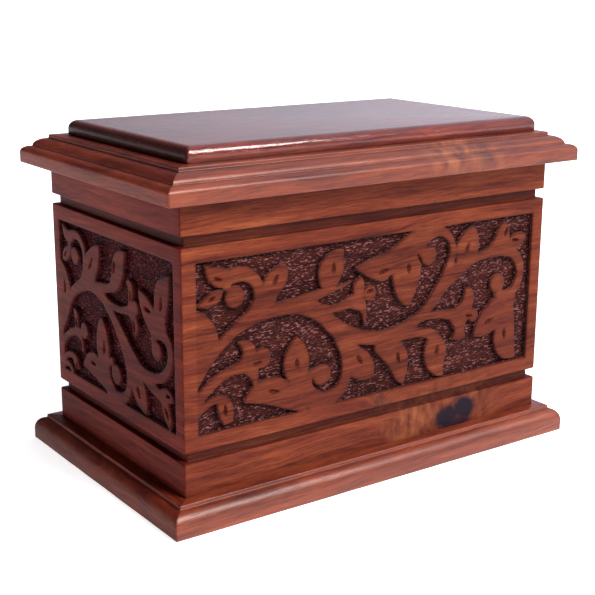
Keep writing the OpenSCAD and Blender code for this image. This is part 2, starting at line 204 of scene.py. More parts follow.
SHORT_GRID = (125, 85)
SHORT_STEMS = [
    # main stem, arch and lower scroll
    [(-74, -24, 6), (-61, -10, 5), (-55, -2, 4), (-48, 5, 3), (-38, 10.5, 3.5), (-28, 12.8, 3.2),
     (-18, 12, 3.4), (-8, 7.5, 3.4), (1, -0.5, 3.2), (9, -10, 3.2), (14, -20, 2.8), (15, -31, 2.5),
     (10.5, -38.5, 3), (1, -41, 3.4), (-7, -38, 5), (-9.6, -30, 3.4), (-7.2, -24.4, 2.2),
     (-2, -22.6, 2.2)],
    # upper left scroll
    [(-36.5, 10, 4), (-32.6, 20, 2.4), (-32.6, 29.5, 2.2), (-36.5, 35.4, 2.3), (-42, 37.3, 2.3),
     (-48, 35.6, 3), (-50, 31, 2.2), (-48, 28, 1.5)],
    # branch to the upright leaf
    [(-24, 13, 3), (-14, 14.6, 2.5), (-6, 15.8, 2.4), (1, 18.4, 3)],
    # branch to the middle bud
    [(-17, 11.5, 2.6), (-5, 8, 2.1), (3, 7.1, 1.9), (10, 7.6, 1.9), (18, 9.6, 2.6)],
    # long sweep and right scroll
    [(-3, 4, 3), (8, -6, 4), (18, -14, 4.2), (30, -19.5, 3.2), (43, -19.3, 2.6), (53, -15, 2.6),
     (58.5, -7, 2.7), (57.3, 1.5, 3), (50, 5, 3.4), (43, 2.4, 2.6), (41.4, -2, 2)],
    # stem of the right bud, then of the lower left bud, then the two hooked leaves
    [(24, -18, 2.6), (36, -23.6, 3), (48, -27, 3)],
    [(-68, -30, 3), (-60, -23.6, 2.3), (-53, -19, 2), (-46, -17, 2.4), (-40, -16, 2)],
    [(-68, -42, 3), (-60, -34, 1.7), (-53, -32.4, 1.9), (-48.6, -34.5, 3.2), (-46.8, -39, 2.4)],
    [(-68, -42, 2), (-59, -38.6, 1.6), (-54, -40.6, 1.8), (-52.4, -44, 1.6)],
]
SHORT_BALLS = [(0.8, -29, 5.4), (-43.8, 25.6, 4.7), (45, -4.8, 5)]
SHORT_LEAVES = [
    [(-51, 4.4), (-52, 9.2), (-54.8, 14.2), (-59, 18.2), (-66, 20), (-70, -10), (-58, -4)],
    [(-59, 40.6), (-57.8, 35.8), (-54.8, 32.6), (-50, 31.2), (-45, 34), (-47, 38.6), (-51.5, 38.6),
     (-55, 39.8)],
    [(-60, 21), (-59, 25), (-56.5, 28), (-52.3, 29.6), (-48.4, 29), (-50.3, 24), (-53.2, 21.6),
     (-56.5, 20.3)],
    [(-14.6, 36.4), (-19, 35.9), (-23.2, 34.2), (-27.3, 31.7), (-30.6, 28.5), (-34, 20),
     (-30, 12), (-21, 14), (-19, 19.2), (-16.4, 23.4), (-14.7, 28.3), (-14.1, 33)],
    [(14.3, 38.6), (8.5, 38.3), (4.3, 36.3), (1.4, 33.2), (-0.4, 29), (-1.1, 24.2), (-3, 19.4),
     (-1, 14.6), (4, 16.2), (8.5, 20), (11.5, 25), (13.1, 30), (13.7, 34.4)],
    [(-39.2, -34.4), (-36.5, -30), (-33.2, -26.4), (-28.2, -24.2), (-23, -23.8), (-17, -26),
     (-8, -30), (-6, -43.4), (-12.3, -41), (-19, -38.9), (-25.7, -37), (-32.3, -35.5)],
    [(-14.4, -1.6), (-18.2, -5), (-20.3, -10), (-21.3, -15.8), (-21, -21.7), (-18, -27),
     (-12, -32), (-8, -28), (-6.4, -20), (-7, -14), (-9, -8.2), (-11.6, -4)],
    [(33.2, -41.6), (29, -40.8), (24.2, -38.8), (20, -35), (16, -29.6), (12, -20), (17, -14),
     (23.5, -16.4), (28.5, -20.8), (31.8, -25.8), (33.7, -31.7), (34, -37.4)],
    [(27.8, 22.2), (28.1, 18.2), (29.3, 14.2), (31.4, 10.4), (34.3, 7.4), (39, 3), (46, 1),
     (52, 6), (46, 12), (43.5, 15.6), (41, 17.6), (36.8, 20.2), (31.8, 21.8)],
    [(59.4, 35.2), (54.3, 34.2), (49.3, 32), (46, 29), (44.3, 25), (43.8, 20), (43, 12), (46, 4),
     (57, 2), (55.6, 7.6), (55, 12), (56.2, 16.8), (57.8, 21.8), (58.9, 28.2)],
    [(61.2, -25.8), (59.4, -23.3), (55.4, -21.5), (50, -22.6), (46, -25), (48, -29.6),
     (52.7, -28.8), (57.7, -28.2)],
    [(57, -42.4), (52.9, -39.4), (50.2, -35), (48.4, -30), (48, -26), (54, -26.6), (57.4, -32),
     (58.6, -38)],
]
SHORT_BUD_LEAVES = [
    [(14.2, 23.4), (16.6, 21), (16.9, 17), (16.6, 10), (20.6, 9), (21.1, 16.6), (22.3, 20.8),
     (21.4, 23.8), (18, 25.2)],
    [(22.9, -3.2), (20.8, 1), (19.2, 4.6), (15.5, 8), (21, 12), (25, 8), (26.8, 3.4), (26.3, 0)],
    [(-49.4, -5.2), (-47.6, -9), (-47.4, -13.5), (-48, -18), (-43, -18), (-42.9, -11),
     (-43.6, -6.7), (-46.3, -4.2)],
    [(-38, -27.6), (-41.5, -25), (-43.9, -20.8), (-45, -16), (-40, -14.6), (-37.8, -21),
     (-36.9, -25.4)],
]
SHORT_BUD_BALLS = [(23.5, 11.8, 3.8), (-35.9, -14.2, 4.5)]
SHORT_SLITS = [
    (-58.4, 6, 90, 3.8, 1.2), (-55.2, 25, 45, 2.4, 0.8), (-24.4, 25.4, 54, 4.4, 1.1),
    (2.2, 28.6, 80, 3.4, 1.2), (-26, -30, -6, 2.8, 0.9), (-12.4, -17.5, 86, 3.8, 1.2),
    (25.2, -31.6, -60, 3.6, 1.1), (36.6, 14, -10, 3.6, 1), (50.6, 20.2, 80, 3.8, 1.2),
    (55.6, -25, 0, 2, 0.8), (54, -34.4, -60, 3.4, 1), (-47.4, -37, 80, 2.2, 0.9),
]
SHORT_BUD_SLITS = [(18.9, 17.4, 90, 3, 0.7), (22.5, 2.2, -70, 3, 0.8), (-45.3, -12.2, -82, 2.8, 0.7),
                   (-41, -22.4, -60, 2.8, 0.8)]


# ------------------------ outlines
STEM_STEPS = 6  # straight pieces between two points of a stem
LEAF_STEPS = 5  # the same along the outline of a leaf
BALL_STEPS = 40  # points round a ball


def smooth(route, steps):
    """The route with more points, on a smooth curve through its own."""
    route = np.array(route, float)
    last = len(route) - 1
    path = []
    for i in range(last):
        p0, p1, p2, p3 = route[max(i - 1, 0)], route[i], route[i + 1], route[min(i + 2, last)]
        for t in np.arange(steps) / steps:
            cubic = (3 * p1 - p0 - 3 * p2 + p3) * t ** 3
            square = (2 * p0 - 5 * p1 + 4 * p2 - p3) * t ** 2
            path.append((2 * p1 + (p2 - p0) * t + square + cubic) / 2)
    return np.array(path + [route[last]])


def ribbon(path):
    """Closed outline of a ribbon along a path of (across, up, half width)."""
    run = np.empty((len(path), 2))
    run[1:-1] = path[2:, :2] - path[:-2, :2]
    run[0] = path[1, :2] - path[0, :2]
    run[-1] = path[-1, :2] - path[-2, :2]
    side = np.stack([-run[:, 1], run[:, 0]], 1) / np.linalg.norm(run, axis=1)[:, None]
    side *= path[:, 2:3]
    return np.concatenate([path[:, :2] + side, (path[:, :2] - side)[::-1]])


def leaf(outline):
    """Smooth closed outline through the points of a leaf, sharp at its first."""
    return smooth(outline + outline[:1], LEAF_STEPS)[:-1]


def circle(x, y, r):
    turn = np.arange(BALL_STEPS) * 2 * np.pi / BALL_STEPS
    return np.stack([x + r * np.cos(turn), y + r * np.sin(turn)], 1)


def within(points, outline):
    """Which points an outline winds round."""
    low, high = outline.min(0), outline.max(0)
    near = np.flatnonzero(((points >= low) & (points <= high)).all(1))
    p = points[near]
    winding = np.zeros(len(p), int)
    for a, b in zip(outline, np.roll(outline, -1, 0)):
        left = (b[0] - a[0]) * (p[:, 1] - a[1]) - (p[:, 0] - a[0]) * (b[1] - a[1])
        winding += (a[1] <= p[:, 1]) & (b[1] > p[:, 1]) & (left > 0)
        winding -= (a[1] > p[:, 1]) & (b[1] <= p[:, 1]) & (left < 0)
    inside = np.zeros(len(points), bool)
    inside[near] = winding != 0
    return inside


def resample(outline, step):
    """Points along a closed outline, about a step apart."""
    points = []
    for a, b in zip(outline, np.roll(outline, -1, 0)):
        n = max(1, int(np.linalg.norm(b - a) / step))
        points.append(a + (b - a) * (np.arange(n) / n)[:, None])
    return np.concatenate(points)


# ------------------------ uneven surfaces
MARK_SPACING = (2.7, 1.35)  # of the tool marks, across and up
MARK_REACH = (0.75, 0.62)  # half size of a mark, in spacings
MARK_STRAY = 0.7  # how far a mark strays from its place, in spacings
MARK_START = 7  # moves the pattern off the centre of the field
MARK_HEIGHTS = (0.55, 0.45)  # height of the lowest mark, and what is added for the highest
ROW_LEAN = 1.6  # how far the rows of marks wander up and down
ROW_LEAN_SIZE = (14, 11)  # over how much of the field they do so


def scatter(i, j, across, up, offset):
    """A number from 0 to 1 for a cell that looks random and is the same on every run."""
    n = np.sin(i * across + j * up + offset) * 43758.5453
    return n - np.floor(n)


def value_noise(x, y, seed):
    """Smooth noise from 0 to 1, one cell a unit."""
    def lattice(i, j):
        return scatter(i, j, 127.1, 311.7, seed * 74.7)
    i, j = np.floor(x), np.floor(y)
    fx, fy = x - i, y - j
    fx, fy = fx * fx * (3 - 2 * fx), fy * fy * (3 - 2 * fy)
    lower = lattice(i, j) * (1 - fx) + lattice(i + 1, j) * fx
    upper = lattice(i, j + 1) * (1 - fx) + lattice(i + 1, j + 1) * fx
    return lower * (1 - fy) + upper * fy


def tool_marks(x, y, seed):
    """Height from 0 to 1 of the short marks that the tool leaves standing on the sunk ground."""
    lean = ROW_LEAN * value_noise(x / ROW_LEAN_SIZE[0], y / ROW_LEAN_SIZE[1], seed + 5)
    x = x / MARK_SPACING[0] + MARK_START
    y = (y + lean) / MARK_SPACING[1] + MARK_START
    i, j = np.floor(x), np.floor(y)
    height = np.zeros_like(x)
    for di in (-1, 0, 1):
        for dj in (-1, 0, 1):
            jitter = scatter(i + di, j + dj, 12.9898, 78.233, seed)
            centre_x = i + di + 0.5 + MARK_STRAY * (jitter - 0.5)
            centre_y = j + dj + 0.5 + MARK_STRAY * ((jitter * 7) % 1 - 0.5)
            reach = ((x - centre_x) / MARK_REACH[0]) ** 2 + ((y - centre_y) / MARK_REACH[1]) ** 2
            mark = (1 - reach).clip(0) * (MARK_HEIGHTS[0] + MARK_HEIGHTS[1] * jitter)
            height = np.maximum(height, mark)
    return height


# ------------------------ carving
CELL = 0.55  # grid of the fields that show
HIDDEN_CELL = 0.8  # grid of the fields at the back and the right
RIM_CELLS = 3  # cells of plain wood round a field
EDGE_STEP = 0.2  # spacing of the points along the carved edges
TOUCHING = 1e-4  # a point nearer than this is on the edge already
GROUND_RISE = 0.5  # how much higher the sunk ground is in places
GROUND_RISE_SIZE = (9, 7)  # over how much of it: across and up
MARK_H = 0.5  # how far the tallest tool marks stand up
FOOT_RISE, FOOT_W = 0.35, 0.5  # the ground rises a little at the foot of the vine
EDGE_DROP, EDGE_W = 0.26, 0.4  # the vine's edges are worn down
SLIT_TAPER = 0.3  # how much narrower a slit is at its end
SLIT_ROUND = 0.6  # how full the bottom of a slit is
EDGE_SHADE, EDGE_FADE = 0.45, 0.9  # painted shade along the edges of the vine
FIELD_SHADE_AND_STAIN = 0.27  # the vine is darkened a little all over: partly stain, partly painted shade
FOOT_SHADE, FOOT_FADE = 0.5, 1.3  # the darkest painted shade, where the ground meets the vine
# painted shade in the slits, darker the deeper they are cut
SLIT_SHADE = 0.74


def grid_line(half, cell):
    """Even places from -half to half, about a cell apart."""
    return np.linspace(-half, half, int(2 * half / cell) + 1)


class Carving:
    """A carved field: its grid of points, the depth of each, and how dark the wood is made by stain and
    by painted shade there. The value is up to 0.75 on the vine, which gets painted shade along its
    edges and in its slits and a little stain with painted shade all over, and from 1 on the sunk
    ground, which is stained with painted shade and darkest where it meets the vine."""

    def __init__(self, field_w, grid, stems, balls, leaves, slits, cell, seed, flip=False):
        self.half = np.array([field_w, FIELD_H]) / 2
        self.cell = cell
        self.seed = seed
        self.slits = slits
        self.scale = 2 * self.half / np.array(grid) * np.array([-1 if flip else 1, 1])
        outlines = [ribbon(smooth(stem, STEM_STEPS)) for stem in stems]
        outlines += [circle(*ball) for ball in balls] + [leaf(points) for points in leaves]
        self.outlines = [outline * self.scale for outline in outlines]
        self.u = grid_line(self.half[0] + RIM_CELLS * cell, cell)
        self.v = grid_line(self.half[1] + RIM_CELLS * cell, cell)
        self.cut()

    def on_vine(self, points):
        found = np.zeros(len(points), bool)
        for outline in self.outlines:
            found |= within(points, outline)
        return found

    def edge_points(self):
        """Points along the edge between the wood that stands and the sunk ground."""
        kept = []
        for k, outline in enumerate(self.outlines):
            points = resample(outline, EDGE_STEP)
            points = points[(np.abs(points) < self.half).all(1)]
            for other, hides in enumerate(self.outlines):
                if other != k:
                    points = points[~within(points, hides)]
            kept.append(points)
        w, h = self.half
        rim = resample(np.array([(-w, -h), (w, -h), (w, h), (-w, h)]), EDGE_STEP)
        kept.append(rim[~self.on_vine(rim)])
        return np.concatenate(kept)

    def nearest_edge(self, points):
        """The nearest edge point of each point, and how far away it is."""
        edge = self.edge_points()
        tree = KDTree(len(edge))
        for i, (x, y) in enumerate(edge):
            tree.insert((x, y, 0), i)
        tree.balance()
        found = [tree.find((x, y, 0)) for x, y in points]
        return edge[[f[1] for f in found]], np.array([f[2] for f in found])

    def cut(self):
        """Works out the points, their depth, and their stain and painted shade."""
        u, v = np.meshgrid(self.u, self.v)
        points = np.stack([u.ravel(), v.ravel()], 1)
        near, away = self.nearest_edge(points)
        stands = self.on_vine(points) | (np.abs(points) > self.half).any(1)
        signed = np.where(stands, away, -away)

        # points close to an edge move onto it, or onto the line one cell from it
        level = np.round(signed / self.cell)
        moves = (np.abs(level) <= 1) & (away > TOUCHING)
        reach = np.abs(level * self.cell) / np.maximum(away, TOUCHING)
        points[moves] = (near + (points - near) * reach[:, None])[moves]
        signed[moves] = (level * self.cell)[moves]

        ground = signed < -0.5 * self.cell
        slit = self.slit_depth(points)
        depth = np.where(ground, self.ground_depth(points, signed), self.worn_edge(signed) + slit)
        self.points = points.reshape(*u.shape, 2)
        self.depth = depth.reshape(u.shape)
        self.shade_and_stain = self.shaded_and_stained(points, signed, ground, slit).reshape(u.shape)

    def ground_depth(self, points, signed):
        """Depth of the sunk ground, uneven and covered with tool marks."""
        uneven = GROUND_RISE * value_noise(*(points / GROUND_RISE_SIZE).T, self.seed)
        marks = MARK_H * tool_marks(*points.T, self.seed)
        foot = FOOT_RISE * np.exp(-((-signed - self.cell) / FOOT_W) ** 2)
        return RELIEF_D - uneven - marks - foot

    def worn_edge(self, signed):
        """How far the vine and the border lie below the face at their edges."""
        return EDGE_DROP * np.exp(-(signed / EDGE_W) ** 2)

    def slit_depth(self, points):
        """Depth of the slits cut in the leaves, each wider towards its start."""
        depth = np.zeros(len(points))
        for x, y, direction, half_l, half_w in self.slits:
            a = math.radians(direction)
            run = np.array([math.cos(a), math.sin(a)]) * np.sign(self.scale)
            off = points - np.array([x, y]) * self.scale
            along = off @ run / half_l
            across = off @ np.array([-run[1], run[0]]) / half_w
            reach = along ** 2 + (across / (1 - SLIT_TAPER * along.clip(-1, 1))) ** 2
            depth = np.maximum(depth, SLIT_D * (1 - reach).clip(0) ** SLIT_ROUND)
        return depth

    def shaded_and_stained(self, points, signed, ground, slit):
        """How dark each point is made by stain and by painted shade."""
        in_field = (np.abs(points) < self.half).all(1)
        # painted shade along the vine's edges, and a little stain with painted shade all over the vine
        edge = EDGE_SHADE * np.exp(-(signed.clip(0) / EDGE_FADE)) + FIELD_SHADE_AND_STAIN * in_field
        # painted shade: darker still on the ground close to the vine
        foot = FOOT_SHADE * np.exp(-((-signed).clip(0) / FOOT_FADE))
        dark = np.where(ground, 1 + foot, edge)
        # painted shade in the slits
        return np.maximum(dark, (SLIT_SHADE * slit).clip(0, SLIT_SHADE))


# ------------------------ meshes
SIDES = {"front": 0, "right": 90, "back": 180, "left": -90}
LONG_SIDES = ("front", "back")
SHARP_ANGLE = math.radians(38)  # edges sharper than this are shaded as edges
ROUND_SHARE = 2.2  # a rounded corner takes at most its shorter leg divided by this
ROUND_STEPS = 3  # facets of a rounded corner
CORNER_STEPS = 4  # facets of half an upright corner of the box
GROOVE_SHADE = 0.72  # how dark the painted shade is at the bottom of a groove


def to_world(side, u, v, depth):
    """Points of a side frame in the box's frame. Depth runs in from the wall face."""
    a = math.radians(SIDES[side])
    half = (WALL_DEP if side in LONG_SIDES else WALL_LEN) / 2
    x, y = u, depth - half
    return np.stack([x * math.cos(a) - y * math.sin(a), x * math.sin(a) + y * math.cos(a), v], -1)


def make_piece(name, points, faces, material, shade_and_stain=None):
    """A mesh object in place of the CAD node of the same name."""
    mesh = bpy.data.meshes.new(name)
    mesh.from_pydata((points * MM).tolist(), [], faces)
    mesh.validate()
    mesh.shade_smooth()
    mesh.set_sharp_from_angle(angle=SHARP_ANGLE)
    attribute = mesh.attributes.new("shade_and_stain", "FLOAT", "POINT")
    attribute.data.foreach_set("value", np.zeros(len(points)) if shade_and_stain is None else shade_and_stain)
    mesh.materials.append(material)
    obj = bpy.data.objects.new(name + "_finished", mesh)
    bpy.context.collection.objects.link(obj)
    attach(obj, "root")
    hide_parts(name)


def ring_faces(rows, cols, turned):
    """Quads between closed rings of points, and a face over each end. turned flips them all."""
    index = np.arange(rows * cols).reshape(rows, cols)
    ring = np.concatenate([index, index[:, :1]], 1)
    quads = np.stack([ring[:-1, :-1], ring[:-1, 1:], ring[1:, 1:], ring[1:, :-1]], -1).reshape(-1, 4)
    if turned:
        return quads[:, [0, 3, 2, 1]].tolist() + [index[0].tolist(), index[-1, ::-1].tolist()]
    return quads.tolist() + [index[0, ::-1].tolist(), index[-1].tolist()]


def wall_faces(rows, cols):
    """Quads of a grid, stored row by row, then a flat back and four edges that join the two. The
    back's four points follow the grid's, from the lower left and against the clock."""
    index = np.arange(rows * cols).reshape(rows, cols)
    quads = np.stack([index[:-1, :-1], index[:-1, 1:], index[1:, 1:], index[1:, :-1]], -1)
    low_left, low_right, high_right, high_left = range(rows * cols, rows * cols + 4)
    return quads.reshape(-1, 4).tolist() + [
        [high_left, high_right, low_right, low_left],
        [low_left, low_right] + index[0, ::-1].tolist(),
        [high_right, high_left] + index[-1].tolist(),
        [high_left, low_left] + index[:, 0].tolist(),
        [low_right, high_right] + index[::-1, -1].tolist(),
    ]


def round_corners(points, radius):
    """A path whose inner points are rounded, within a share of the shorter leg of each."""
    points = np.array(points, float)
    path = [points[0]]
    for a, b, c in zip(points[:-2], points[1:-1], points[2:]):
        back, on = a - b, c - b
        back_l, on_l = np.linalg.norm(back), np.linalg.norm(on)
        reach = min(radius, back_l / ROUND_SHARE, on_l / ROUND_SHARE)
        p, q = b + back / back_l * reach, b + on / on_l * reach
        for t in np.linspace(0, 1, ROUND_STEPS + 1):
            path.append((1 - t) ** 2 * p + 2 * t * (1 - t) * b + t ** 2 * q)
    return np.array(path + [points[-1]])


def wall_rows(field_v):
    """Depth and height of a wall's rows from bottom to top, and the number of the field's first."""
    panel_top = PANEL_Z + PANEL_H
    frieze = panel_top + GROOVE_H
    path = round_corners([
        (0, 0), (0, PLINTH_BAND), (GROOVE_D, PLINTH_BAND), (GROOVE_D, PANEL_Z), (0, PANEL_Z),
        (0, panel_top), (GROOVE_D, panel_top), (GROOVE_D, frieze), (0, frieze), (0, WALL_H),
    ], ARRIS)
    below = path[path[:, 1] < field_v[0]]
    above = path[path[:, 1] > field_v[-1]]
    depth = np.concatenate([below[:, 0], np.zeros(len(field_v)), above[:, 0]])
    v = np.concatenate([below[:, 1], field_v, above[:, 1]])
    return depth, v, len(below)


def carved_wall(side, carving, material):
    """A mitred wall board: bands, grooves and a carved field on its face, and a plain back."""
    length = WALL_LEN if side in LONG_SIDES else WALL_DEP
    row_depth, row_v, first = wall_rows(carving.v + FIELD_MID)

    # the upright corner: how far each of its columns lies in from the end and from the face
    turn = np.radians(np.linspace(0, 45, CORNER_STEPS + 1))
    end_in = CORNER * (1 - np.sin(turn))
    end_depth = CORNER * (1 - np.cos(turn))
    end_depth[-1] += SEAM
    end_in[-1] += SEAM
    ends = len(turn)

    rows, cols = len(row_v), len(carving.u) + 2 * ends
    u = np.empty((rows, cols))
    u[:, ends:-ends] = carving.u
    v = np.repeat(row_v[:, None], cols, 1)
    depth = np.repeat(row_depth[:, None], cols, 1)
    # painted shade: the wood is darker the deeper it lies in a groove
    shade_and_stain = np.repeat(GROOVE_SHADE * (row_depth / GROOVE_D).clip(0, 1)[:, None], cols, 1)
    field = slice(first, first + len(carving.v)), slice(ends, cols - ends)
    u[field] = carving.points[..., 0]
    v[field] = carving.points[..., 1] + FIELD_MID
    depth[field] = carving.depth
    shade_and_stain[field] = carving.shade_and_stain
    reach = length / 2 - row_depth[:, None]
    u[:, -ends:] = reach - end_in
    u[:, :ends] = -(reach - end_in)[:, ::-1]
    depth[:, -ends:] += end_depth
    depth[:, :ends] += end_depth[::-1]

    back_u = length / 2 - WALL_T
    u = np.append(u.ravel(), [-back_u, back_u, back_u, -back_u])
    v = np.append(v.ravel(), [0, 0, WALL_H, WALL_H])
    depth = np.append(depth.ravel(), [WALL_T] * 4)
    shade_and_stain = np.append(shade_and_stain.ravel(), np.zeros(4))
    points = to_world(side, u, v + WALL_Z, depth)
    make_piece(f"{side}_wall", points, wall_faces(rows, cols), material, shade_and_stain)


ARC_STEPS = 8  # facets of a quarter round
RAIL_STEP = 4.0  # length of the facets along a rail
RAIL_END = 0.5  # length of the last one at each mitre
HAND_DIP = 0.28  # how far hand sanding dips the outer faces
HAND_DIP_SIZE = (13, 6, 5)  # over how much of them: along, up and out
SANDED_FROM = 0.5  # only what lies this far out of the wall face is sanded


def quarter_round(x, z, w, h):
    """A quarter round from (x, z), out by w and down by h, that ends upright."""
    a = np.radians(np.linspace(0, 90, ARC_STEPS + 1))
    return list(zip(x + w * np.sin(a), z - h * (1 - np.cos(a))))


def rail(name, side, section, z, material, seed):
    """A mitred rail: a closed section, out from the wall face and up, swept along one side."""
    half = (WALL_LEN if side in LONG_SIDES else WALL_DEP) / 2
    closed = np.array(section, float)
    around = round_corners(np.concatenate([closed, closed[:2]]), ARRIS)[1:-1]
    inner = np.linspace(-1, 1, int(2 * half / RAIL_STEP) + 1)[1:-1]
    places = np.concatenate([[-1, -1 + RAIL_END / half], inner, [1 - RAIL_END / half, 1]])
    out = np.repeat(around[None, :, 0], len(places), 0)
    up = np.repeat(around[None, :, 1], len(places), 0)
    along = places[:, None] * (half + out)

    # hand-sanded: the outer faces dip a little here and there, and fall away at the mitres
    dip_along, dip_up, dip_out = HAND_DIP_SIZE
    dip = HAND_DIP * value_noise(along / dip_along + seed, up / dip_up + out / dip_out, seed)
    dip += SEAM * (np.abs(places) == 1)[:, None]
    out = out - np.where(out > SANDED_FROM, dip * (out / OVERHANG).clip(0, 1), 0)
    points = to_world(side, along.ravel(), up.ravel() + z, -out.ravel())
    make_piece(name, points, ring_faces(*out.shape, turned=True), material)


BOARD_CORNER = 1.6  # radius of a flat board's corners
LEAST_CORNER = 0.4
CORNER_LOSS = 0.25  # how much of that radius is lost for each millimetre the edge comes in
BOARD_STEPS = 6  # facets of such a corner


def round_board(name, low, high, edge, material):
    """A flat board whose edge follows a path of (in from the edge, height)."""
    centre, half = (low + high) / 2, (high - low) / 2
    rings = []
    for inset, height in edge:
        r = max(BOARD_CORNER - inset * CORNER_LOSS, LEAST_CORNER)
        ring = []
        for quarter, (sx, sy) in enumerate(((1, 1), (-1, 1), (-1, -1), (1, -1))):
            cx, cy = sx * (half[0] - inset - r), sy * (half[1] - inset - r)
            for a in np.radians(90 * quarter + np.linspace(0, 90, BOARD_STEPS + 1)):
                ring.append((centre[0] + cx + r * math.cos(a), centre[1] + cy + r * math.sin(a),
                             low[2] + height))
        rings.append(ring)
    points = np.array(rings)
    faces = ring_faces(*points.shape[:2], turned=False)
    make_piece(name, points.reshape(-1, 3), faces, material)


# ------------------------ materials
class Nodes:
    """Short calls that add and link the nodes of one material or world."""

    def __init__(self, owner):
        owner.use_nodes = True
        self.tree = owner.node_tree
        self.tree.nodes.clear()

    def feed(self, socket, value):
        """Links a value to a socket if it is one itself, and sets the socket to it if not."""
        if isinstance(value, bpy.types.NodeSocket):
            self.tree.links.new(value, socket)
        else:
            socket.default_value = value

    def add(self, kind, out=0, settings=None, **inputs):
        """Adds a node, feeds its inputs by name, or by place as i0, i1 and on, and returns an output."""
        node = self.tree.nodes.new("ShaderNode" + kind)
        for key, value in (settings or {}).items():
            setattr(node, key, value)
        for key, value in inputs.items():
            by_place = key[0] == "i" and key[1:].isdigit()
            self.feed(node.inputs[int(key[1:]) if by_place else key.replace("_", " ")], value)
        return node.outputs[out] if node.outputs else None

    def math(self, operation, a, b):
        return self.add("Math", settings={"operation": operation}, i0=a, i1=b)

    def largest(self, values):
        found = values[0]
        for value in values[1:]:
            found = self.math("MAXIMUM", found, value)
        return found

    def vector(self, operation, a, b, out=0):
        return self.add("VectorMath", out=out, settings={"operation": operation}, i0=a, i1=b)

    def noise(self, vector, detail=2.0, rough=0.5, out=0):
        return self.add("TexNoise", out=out, Vector=vector, Scale=1.0, Detail=detail, Roughness=rough)

    def pattern(self, vector, size, detail=2.0, rough=0.5, out=0):
        """Noise at a size given in turns a millimetre along the three axes."""
        return self.noise(self.add("Mapping", Vector=vector, Scale=size), detail, rough, out)

    def mix(self, share, a, b, blend="MIX"):
        """A mixed colour. The inputs of a colour mix are its places 0, 6 and 7."""
        return self.add("Mix", out=2, settings={"data_type": "RGBA", "blend_type": blend},
                        i0=share, i6=a, i7=b)

    def ramp(self, value, stops):
        node = self.tree.nodes.new("ShaderNodeValToRGB")
        self.tree.links.new(value, node.inputs[0])
        elements = node.color_ramp.elements
        while len(elements) < len(stops):
            elements.new(0.5)
        for element, (place, colour) in zip(elements, stops):
            element.position = place
            element.color = colour
        return node.outputs[0]

    def spread(self, value, low, high, to_low=0.0, to_high=1.0):
        """Brings low and high to 0 and 1, or to two other values, and holds what lies past them."""
        return self.add("MapRange", Value=value, i1=low, i2=high, i3=to_low, i4=to_high)


def linear(r, g, b):
    """Linear colour of a screen colour given from 0 to 255."""
    return tuple(((c / 255 + 0.055) / 1.055) ** 2.4 if c > 10 else c / 3294 for c in (r, g, b)) + (1,)


# Colours of the wood, from the dark lines of its grain to the light ones
GRAIN_COLOURS = [
    (0.33, linear(54, 17, 16)), (0.42, linear(92, 34, 22)), (0.50, linear(121, 50, 29)),
    (0.58, linear(140, 62, 36)), (0.68, linear(164, 86, 50)),
]
# the tan wood round the knots: its own colour, with lighter and darker bands painted as the sheen of
# figured wood
TAN_AND_SHEEN_COLOURS = [(0.36, linear(80, 31, 26)), (0.5, linear(122, 58, 36)), (0.64, linear(152, 84, 50))]
PORE_COLOUR = linear(48, 14, 14)
CLOUD_COLOUR = linear(92, 30, 24)
KNOT_COLOUR = linear(34, 20, 30)
# paler colour of the painted glints on the tool marks
GLINT_COLOUR = linear(172, 104, 98)
# colour of the darkest painted shade, at the vine's foot
FOOT_SHADE_COLOUR = linear(16, 6, 9)
END_COLOUR = linear(22, 9, 11)
SHADE_AND_STAIN_COLOUR = (0.24, 0.19, 0.34, 1)  # colour of the stain and the painted shade, multiplied into the wood's own

# Sizes of the patterns, in turns a millimetre along the fibres and across them
SLOW = (0.012, 0.03, 0.03)
WOBBLE = (0.17, 0.17, 0.17)
# lighter and darker bands of the tan wood, painted as the sheen of figured wood
TAN_FIGURE_AND_SHEEN = (0.17, 0.07, 0.08)
PORES = (0.16, 2.3, 2.3)
SWAY = (0.09, 0.09, 0.09)
TOOL_MARKS = (0.42, 0.6, 1.5)
WAVES = (0.05, 0.2, 0.2)
GRAIN_ROUGHNESS = 0.6
# Bands, streaks and fibres: turns a millimetre along and across the rings, detail, share
GRAIN_LAYERS = ((0.012, 0.2, 3, 0.5), (0.045, 0.9, 2, 0.28), (0.12, 2.4, 2, 0.22))

BOARD_STEP = (37.0, 11.0, 5.0)  # how far apart in the pattern two boards are cut
DRIFT = 9  # millimetres over which the rings wander
KNOT_WOBBLE = 0.9  # how uneven the edge of a knot is
KNOT_BEND = 6.0  # how far a knot pushes the rings out
KNOT_FADE = -0.28  # how fast that fades, as a power over the distance squared
KNOT_EDGE = (1.15, 0.6)  # where a knot begins and is dark, in its own half sizes
TAN_EDGE = (3.4, 1.2)  # the same for the tan wood round it
GROUND_FROM = 0.75  # value of the stain and painted shade at which the sunk ground begins
LEAST_ROUGH = 0.34  # least roughness of the wood under its lacquer
END_FROM = (0.3, 0.8)  # how squarely a face has to cross the fibres to show end grain
# Where each of these begins and is full in its pattern or in the stain and painted shade, then how much
# it covers
PORE_FROM, PORE_SHARE = (0.6, 0.72), 0.45
CLOUD_FROM, CLOUD_SHARE = (0.35, 0.7), 0.4
GLINT_FROM, GLINT_SHARE = (0.56, 0.66), 0.68
FOOT_SHADE_FROM, FOOT_SHADE_SHARE = (1.05, 1.5), 0.8
SHADE_AND_STAIN_SHARE = 0.95
END_SHARE = 0.75
END_COAT = 0.1  # how much of the lacquer is left on end grain


